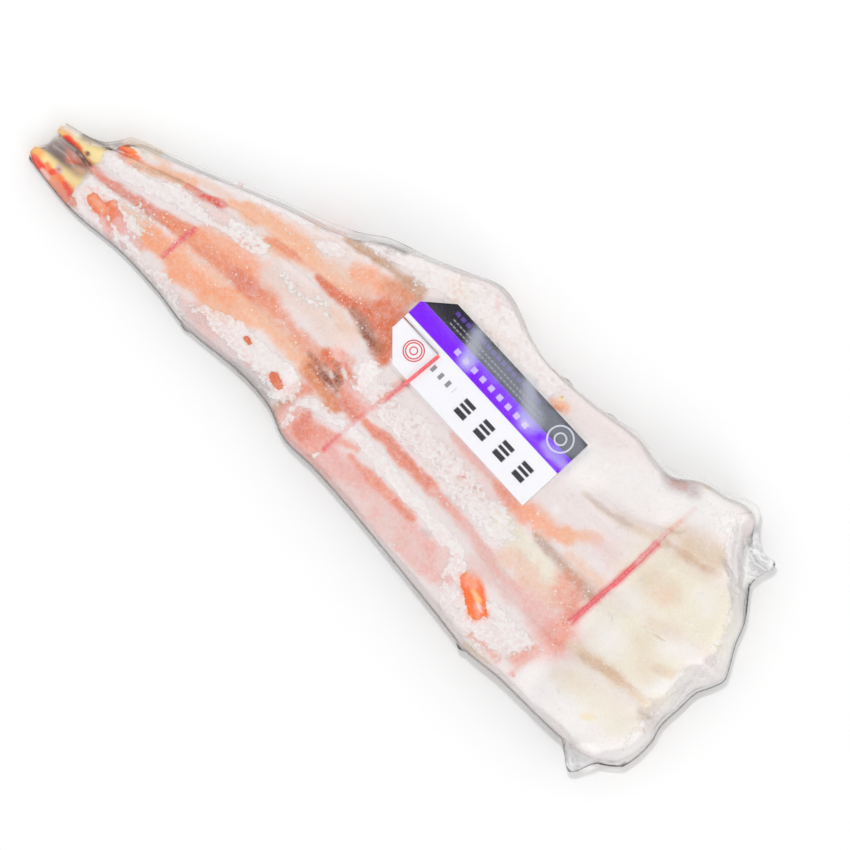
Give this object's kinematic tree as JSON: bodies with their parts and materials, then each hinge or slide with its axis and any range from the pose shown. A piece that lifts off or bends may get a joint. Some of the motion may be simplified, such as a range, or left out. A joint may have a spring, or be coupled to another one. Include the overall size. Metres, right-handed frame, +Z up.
{
  "type": "frozen crab leg cluster in clear film",
  "caption": "Ice-glazed cluster of crab legs side by side, held by rubber bands with a card tag, shrunk into clear film.",
  "frame": {"origin": "below the middle of the pack, on the face that it lies on", "axes": "+X from the leg tips to the shoulder, +Y across the legs towards the claw arm, +Z up from the underside to the side with the tag"},
  "size_m": [0.4998, 0.185, 0.0494],
  "materials": {
    "film": "thin clear shrink film, glossy, creased at its corners",
    "shell": "cooked crab shell, salmon orange to cream, under an ice glaze",
    "meat": "pale frozen shoulder meat, cream, frosted",
    "ice": "cloudy ice glaze with white frost and fine bubbles",
    "band": "matt red rubber",
    "card": "printed coated card with plain colour fields"
  },
  "bodies": {
    "root": {"bag": "film", "band_1": "band", "band_2": "band", "band_3": "band", "label": "card"}
  },
  "joints": []
}
